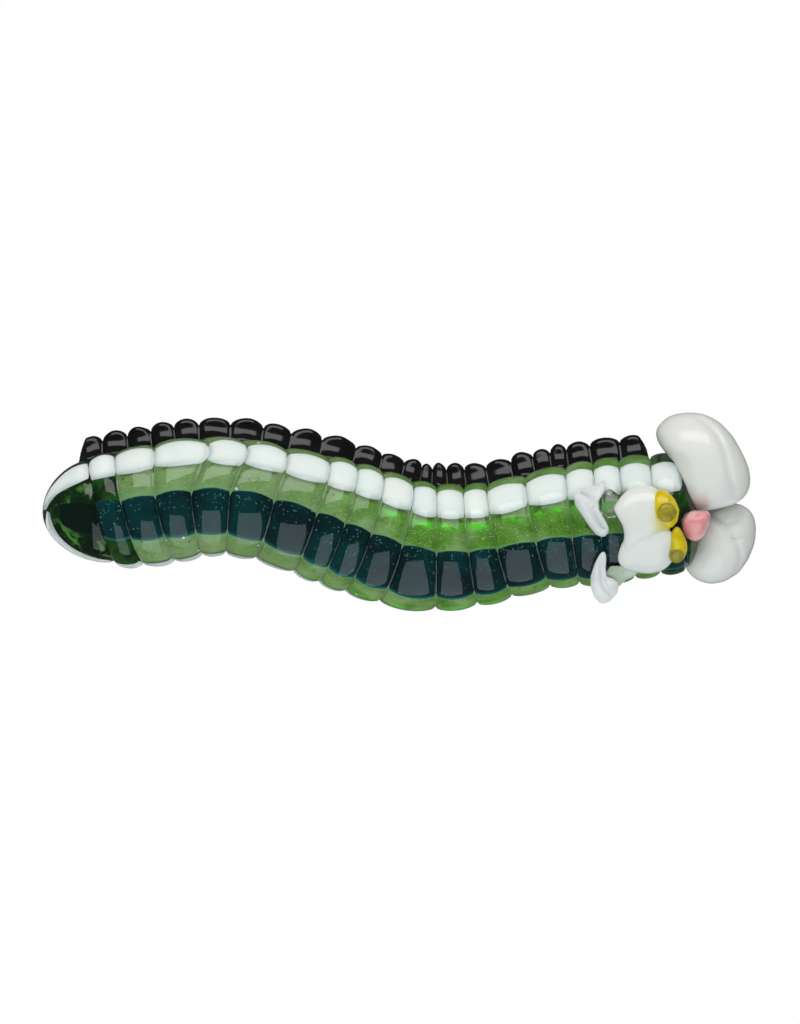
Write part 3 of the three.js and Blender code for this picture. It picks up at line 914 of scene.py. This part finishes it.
def makeFootRow(side, name):
    # a plain strip along one side of the rod, side 1 on the left and -1 on the right, then crimped
    count = len(footRow["widths"])
    dips = footRow["from"] + np.concatenate([[0], np.cumsum(footRow["widths"])])
    t = np.linspace(-0.5, count - 0.5, count * footRow["samplesPerFoot"] + 1)
    x = np.interp(t, np.arange(count + 1) - 0.5, dips)
    around = footRow["around"]
    loop = np.linspace(0, 2 * math.pi, around, endpoint=False)
    across = np.sign(np.cos(loop)) * np.abs(np.cos(loop))**0.75
    up = 0.5 + 0.5 * np.sign(np.sin(loop)) * np.abs(np.sin(loop))**0.6
    ends = np.clip(1 - np.abs(2 * (t - t[0]) / (t[-1] - t[0]) - 1), 0, 1) * count
    taper = np.clip(ends / 0.5, 0, 1)**0.5
    angle = math.radians(footRow["angle"]) * side
    root = skinRadius(np.maximum(x, firstGroove)) - footRow["rootDepth"]
    reach = np.interp(x, footRow["tailPart"], (footRow["tailReach"], footRow["reach"]))
    reach = reach + footRow["rootDepth"]
    radius = root[:, None] + reach[:, None] * up[None, :] * (0.35 + 0.65 * taper[:, None])
    middle = rodPoints(x[:, None], angle, radius)
    turn = turnAt(x)
    thick = np.stack([-np.sin(turn) * math.cos(angle), np.cos(turn) * math.cos(angle),
                      -math.sin(angle) + 0 * x], -1)
    width = 0.5 * footRow["thickness"] * taper[:, None] * across[None, :]
    points = middle + thick[:, None, :] * width[..., None] * mm
    outward = unit(middle - rodPoints(x[:, None], angle, 0 * radius)) * up[None, :, None]
    sideways = thick[:, None, :] * (across[None, :, None] * taper[:, None, None])
    faces = gridFaces(len(x), around)
    faces.append(tuple(range(around))[::-1])
    faces.append(tuple((len(x) - 1) * around + j for j in range(around)))
    row = outwardFaces(meshObject(name, points.reshape(-1, 3), faces, {
        "footPhase": np.repeat(t, around), "upStrip": np.tile(up, len(x)),
        "sideways": sideways.reshape(-1, 3), "outward": outward.reshape(-1, 3)}))
    return runTree(row, crimpTree, "black_glass", Fold=footRow["fold"] * mm, Waist=footRow["waist"],
                   Crimp=footRow["crimp"] * mm, Evenness=footRow["evenness"], Lean=footRow["lean"] * mm,
                   Wander=footRow["wander"] * mm, Seed=4 + side)


crimpTree = makeCrimpTree()
for node, name, side in (("left_foot_row", "LeftFeet", 1), ("right_foot_row", "RightFeet", -1)):
    finishPiece(makeFootRow(side, name), node, "black_glass")
print("feet ready")


def outlineRadius(outline, softness=5):
    # distance to a closed outline in every direction from its middle, its corners a little rounded
    corners = np.array(outline, float)
    part = np.linspace(0, 1, 12, endpoint=False)[None, :, None]
    edge = (corners[:, None] * (1 - part) + np.roll(corners, -1, 0)[:, None] * part).reshape(-1, 2)
    turn = np.degrees(np.arctan2(edge[:, 1], edge[:, 0]))
    order = np.argsort(turn)
    even = np.arange(-180, 180, 1.0)
    length = np.interp(even, turn[order], np.hypot(*edge[order].T), period=360)
    spread = np.exp(-0.5 * (np.arange(-20, 21) / softness)**2)
    smooth = np.convolve(np.concatenate([length[-20:], length, length[:20]]), spread / spread.sum(), "valid")

    def lookup(angle):
        return np.interp(np.degrees(angle), even, smooth, period=360)
    return lookup


def lumpGrid(spec, rings, around, fullness):
    # a ball's directions stretched to an outline: across, rise, and depth from 1 in front to -1 behind
    radius = outlineRadius(spec["outline"], spec.get("softness", 5))
    polar = np.linspace(0, math.pi, rings + 2)[1:-1][:, None]
    turn = np.linspace(-math.pi, math.pi, around, endpoint=False)[None, :]
    reach = np.sin(polar)**fullness * radius(turn)
    return reach * np.cos(turn), reach * np.sin(turn), np.cos(polar) + 0 * turn


def lumpFaces(rings, around):
    faces = gridFaces(rings, around)
    first, last = rings * around, rings * around + 1
    base = (rings - 1) * around
    for j in range(around):
        k = (j + 1) % around
        faces.append((first, k, j))
        faces.append((last, base + j, base + k))
    return faces


def nearLine(across, rise, line):
    # distance to a drawn line in the face's own plane
    best = np.full(np.shape(across), 1e9)
    for (ax, ay), (bx, by) in zip(line[:-1], line[1:]):
        dx, dy = bx - ax, by - ay
        t = np.clip(((across - ax) * dx + (rise - ay) * dy) / (dx * dx + dy * dy), 0, 1)
        best = np.minimum(best, np.hypot(across - ax - t * dx, rise - ay - t * dy))
    return best


def smoothLine(points, steps=8):
    t = np.arange(len(points))
    fine = np.linspace(0, len(points) - 1, steps * (len(points) - 1) + 1)
    xs, ys = (naturalSpline(t, [p[i] for p in points])(fine) for i in (0, 1))
    return list(zip(xs, ys))


def closeLump(name, grid, rings, around):
    ends = [grid[0].mean(axis=0), grid[-1].mean(axis=0)]
    points = np.vstack([grid.reshape(-1, 3), ends])
    return outwardFaces(meshObject(name, points, lumpFaces(rings, around)))


def pressedIn(out, spec, across, rise, depth):
    # creases and swells in the front of a lump: a line or a spot, how deep or high, how wide
    for line, dip, width in spec.get("creases", []):
        away = nearLine(across, rise, smoothLine(line))
        out = out - dip * np.exp(-(away / width)**2) * np.clip(depth * 3, 0, 1)
    for spot, swell, width in spec.get("swells", []):
        away = np.hypot(across - spot[0], rise - spot[1])
        out = out + swell * np.exp(-(away / width)**2) * np.clip(depth, 0, 1)
    return out


def freeLump(name, spec):
    # a ball of glass with its own outline, as deep in front as "front" and behind as "back"
    rings, around = spec.get("rings", 44), 80
    across, rise, depth = lumpGrid(spec, rings, around, spec.get("fullness", 0.9))
    out = np.where(depth > 0, depth * spec["front"], depth * spec["back"])
    out = pressedIn(out, spec, across, rise, depth)
    cx, cy, cz = spec["middle"]
    out = cz + out + spec.get("lean", 0.0) * across + spec.get("slope", 0.0) * rise
    grid = facePoints(*drawnIn(cx + across, cy + rise, out), out)
    return closeLump(name, grid, rings, around)


def patOnRod(name, spec):
    # a lump pressed on to the rod: its outline is seen from in front, its thickness stands off the ribs
    rings, around = spec.get("rings", 40), 72
    across, rise, depth = lumpGrid(spec, rings, around, 0.85)
    cx, cy = spec["middle"]
    along, height = drawnIn(cx + across, cy + rise, patHeight)
    lift = np.where(depth > 0, spec["thickness"] * np.abs(depth)**spec["flatness"], depth)
    radius = crestAt(along) + pressedIn(lift, spec, across, rise, depth)
    sine = (height - leftAt(along) * math.cos(faceTilt)) / radius
    if "limit" in spec:
        # keeps a pat near the edge of the view from stretching far down the rod's side
        sine = sine / (1 + np.abs(sine / spec["limit"])**16)**(1 / 16)
    angle = np.arcsin(np.clip(sine, -0.99, 0.99)) + faceTilt
    grid = rodPoints(along + radius * np.sin(angle) * np.sin(turnAt(along)), angle, radius)
    return closeLump(name, grid, rings, around)


def roundOutline(radius, sides=12):
    turns = np.linspace(0, 2 * math.pi, sides, endpoint=False)
    return [(radius * math.cos(t), radius * math.sin(t)) for t in turns]


# A piece with three numbers for its middle is a free lump, and one with two lies on the rod.
patHeight = 15.0  # of the rod's back over its axis, near enough for the pats
cheeks = {
    "left_cheek": {
        "middle": (76.1, 14.1, 3.5), "front": 11.2, "back": 12.0, "fullness": 0.8, "lean": 0.06,
        "outline": [(12.3, -5.3), (11.8, -1.3), (10.1, 2.5), (7.8, 6.6), (4.3, 10.3), (0.3, 12.3),
                    (-4.0, 12.6), (-8.3, 11.8), (-11.1, 9.3), (-12.1, 7.1), (-10.6, 4.3), (-8.0, 1.0),
                    (-6.6, -3.0), (-5.8, -7.0), (-5.0, -10.4), (-2.6, -12.3), (2.3, -12.1), (8.3, -10.6),
                    (11.2, -8.4)],
        "creases": [([(-0.5, 11.0), (3.6, 7.2), (6.0, 1.6), (7.0, -3.4), (8.2, -7.6)], 1.1, 0.75)],
    },
    "right_cheek": {
        "middle": (80.4, -6.6, -5.4), "front": 11.4, "back": 8.6, "fullness": 0.8, "lean": 0.04,
        "outline": [(9.3, 4.0), (9.0, 6.6), (7.8, 8.8), (5.0, 10.4), (1.0, 10.4), (-3.0, 8.9), (-6.0, 6.6),
                    (-7.8, 3.3), (-8.3, 0.0), (-8.9, -4.3), (-8.0, -6.8), (-5.8, -8.9), (-2.3, -10.0),
                    (1.5, -9.3), (5.0, -7.1), (7.5, -3.5), (9.0, 0.5)],
        "creases": [
            ([(-2.4, 7.4), (0.2, 5.6), (3.6, 5.2), (6.2, 8.0)], 1.3, 0.8),
            ([(1.6, 4.0), (4.4, 0.0), (5.4, -3.4), (4.4, -6.6)], 0.9, 0.7),
            ([(3.9, 1.6), (6.6, 1.7), (9.4, 2.0)], 0.6, 0.4),
        ],
    },
}
nose = {
    "nose": {
        "middle": (74.6, -1.6, 10.8), "front": 4.4, "back": 4.2, "fullness": 0.8, "rings": 30,
        "softness": 10,
        "outline": [(3.1, -0.4), (3.6, 2.0), (3.7, 3.5), (1.4, 3.5), (-1.2, 3.6), (-3.6, 2.8), (-4.8, 0.4),
                    (-4.0, -2.0), (-1.9, -3.7), (0.1, -4.3), (1.9, -3.0)],
    },
}
brows = {
    "left_brow": {
        "middle": (60.5, 0.8), "thickness": 2.9, "flatness": 0.7, "glass": "yellowEndedIvory",
        "outline": [(7.7, 1.2), (6.1, 5.2), (3.3, 7.1), (0.5, 7.7), (-2.6, 6.7), (-5.0, 4.4), (-7.0, 1.6),
                    (-5.8, -0.4), (-4.4, -2.8), (-3.8, -5.9), (-4.6, -9.1), (-5.6, -11.4), (-3.4, -11.1),
                    (-0.3, -9.9), (2.1, -7.9), (5.3, -5.9), (7.9, -3.3)],
    },
    "right_brow": {
        "middle": (63.5, -8.3), "thickness": 2.7, "flatness": 0.7, "softness": 10, "limit": 0.93,
        "outline": [(6.0, 4.0), (3.4, 6.2), (-4.5, 5.5), (-7.5, 2.5), (-9.0, -2.8), (-6.8, -4.4),
                    (-3.7, -5.5), (-0.1, -6.3), (2.7, -5.4), (4.3, -4.0), (5.8, -1.6)],
    },
}
eyes = {
    "left_eye": {
        "middle": (66.9, 1.4), "thickness": 3.35, "flatness": 0.7, "rings": 30,
        "outline": [(3.5, 0.6), (2.4, 3.4), (0.5, 5.4), (-1.9, 5.9), (-3.6, 4.6), (-4.0, 1.5), (-3.6, -2.0),
                    (0.1, -3.8), (1.7, -3.8), (3.0, -2.2)],
    },
    "right_eye": {
        "middle": (69.7, -6.9), "thickness": 3.2, "flatness": 0.7, "rings": 30, "softness": 8, "limit": 0.9,
        "outline": [(2.6, 1.0), (1.2, 3.8), (0.0, 5.5), (-1.4, 3.4), (-1.9, -1.4), (-1.6, -3.8), (0.4, -4.8),
                    (2.0, -3.4), (2.8, -1.0)],
    },
}
pupils = {
    "left_pupil": {
        "middle": (67.0, 1.5), "thickness": 4.0, "flatness": 0.3, "rings": 20, "outline": roundOutline(2.7),
    },
    "right_pupil": {
        "middle": (69.7, -9.4), "thickness": 3.7, "flatness": 0.3, "rings": 20, "limit": 0.9,
        "outline": roundOutline(2.0),
    },
}


# The left ear lies on the rod; the right one stands out past its side, sloping with it.
earRims = {
    "left_ear_rim": {
        "glass": "earWhite", "middle": (48.3, 2.6), "thickness": 3.1, "flatness": 0.6, "softness": 3,
        "outline": [(3.4, 7.3), (3.6, 4.5), (1.9, 1.8), (2.0, -0.6), (3.6, -3.4), (4.6, -5.8), (3.2, -7.5),
                    (1.2, -6.9), (-0.7, -4.6), (-2.3, -2.2), (-4.3, 0.6), (-4.5, 2.8), (-3.3, 4.7),
                    (-0.7, 5.3), (1.7, 5.8)],
        "creases": [([(-2.6, 3.4), (-0.2, 1.6), (0.6, -1.8), (2.8, -5.2)], 1.5, 0.7)],
        "swells": [((-2.8, 1.0), 0.8, 1.5), ((1.8, 3.8), 0.6, 1.4), ((2.6, -6.4), 0.6, 1.2)],
    },
    "right_ear_rim": {
        "glass": "earWhite", "middle": (50.3, -15.4, 9.2), "front": 1.8, "back": 1.7, "slope": 0.9,
        "softness": 3,
        "outline": [(1.2, 7.3), (1.8, 6.0), (1.5, 3.1), (1.8, 0.8), (3.6, 0.2), (4.9, -0.8), (4.5, -3.4),
                    (2.5, -5.6), (0.4, -6.2), (-1.3, -4.5), (-2.3, -1.6), (-2.3, 0.8), (-1.3, 3.9),
                    (0.2, 6.7)],
        "creases": [([(0.5, 5.0), (0.6, 1.2), (1.4, -2.0), (2.6, -3.4)], 1.0, 0.7)],
    },
}
earWebs = {
    "left_ear_web": {
        "middle": (53.2, 2.9), "thickness": 1.0, "flatness": 0.6,
        "outline": [(2.8, 0.4), (1.6, 3.2), (-0.6, 4.6), (-2.2, 2.6), (-2.6, -1.2), (-1.0, -3.0),
                    (1.6, -2.6)],
    },
    "right_ear_web": {
        "glass": "milkyWeb", "middle": (55.6, -14.4, 9.4), "front": 0.9, "back": 0.8, "slope": 0.9,
        "outline": [(4.8, 1.2), (2.0, 2.4), (-2.6, 2.4), (-4.0, 0.2), (-2.4, -2.4), (-0.4, -2.8),
                    (1.2, -1.2), (3.4, -0.2)],
    },
}

faceParts = [
    (cheeks, "ivory_glass"), (nose, "pink_glass"), (brows, "ivory_glass"), (eyes, "yellow_glass"),
    (pupils, "olive_glass"), (earRims, "white_opal_glass"), (earWebs, "clear_glass"),
]

for pieces, slot in faceParts:
    for node, spec in pieces.items():
        make = freeLump if len(spec["middle"]) == 3 else patOnRod
        finishPiece(make(pieceName(node), spec), node, slot, spec.get("glass"))
print("face and ears ready")


bubbles = {
    "Per_Square_Metre": 1800.0, "Radius": 0.00042, "Depth": 0.0008, "Smallest": 0.4, "Largest": 1.3,
    "Seed": 21,
}


def makeBubbleTree():
    # Small seeds of air, scattered over the core and lifted into the clear glass.
    bench, start, end = newTree("scatterBubbles", "GeometryNodeTree", {
        "Geometry": "Geometry", "Per Square Metre": 1000.0, "Radius": 0.0005, "Depth": 0.001,
        "Smallest": 0.5, "Largest": 1.5, "Seed": 1, "Glass": "Material",
    }, {"Geometry": "Geometry"})
    scatter = bench.add("GeometryNodeDistributePointsOnFaces", Mesh=start["Geometry"],
                        Density=start["Per Square Metre"], Seed=start["Seed"]).outputs
    lift = bench.vector("SCALE", scatter["Normal"], start["Depth"])
    lifted = bench.add("GeometryNodeSetPosition", Geometry=scatter["Points"], Offset=lift)
    bead = bench.add("GeometryNodeMeshIcoSphere", Radius=start["Radius"], Subdivisions=3).outputs["Mesh"]
    size = bench.add("FunctionNodeRandomValue", {"data_type": "FLOAT"}, Min=start["Smallest"],
                     Max=start["Largest"], Seed=start["Seed"])
    beads = bench.add("GeometryNodeInstanceOnPoints", Points=lifted.outputs[0], Instance=bead,
                      Scale=live(size.outputs)[0])
    return endTree(bench, beads.outputs[0], start, end)


def makeBubbles():
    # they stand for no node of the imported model, only for empty places in its clear glass
    rings = ringPlaces(6)
    beads = tubeOnRod("bubbles", rings, skinRadius(rings, rod["coreInset"]), 48)
    # the beads are in pale opaque glass: a painted highlight for the light each air bubble catches
    runTree(beads, makeBubbleTree(), "earWhite", **bubbles)
    finishPiece(beads, None, "clear_glass", "earWhite")


makeBubbles()
print("bubbles ready")
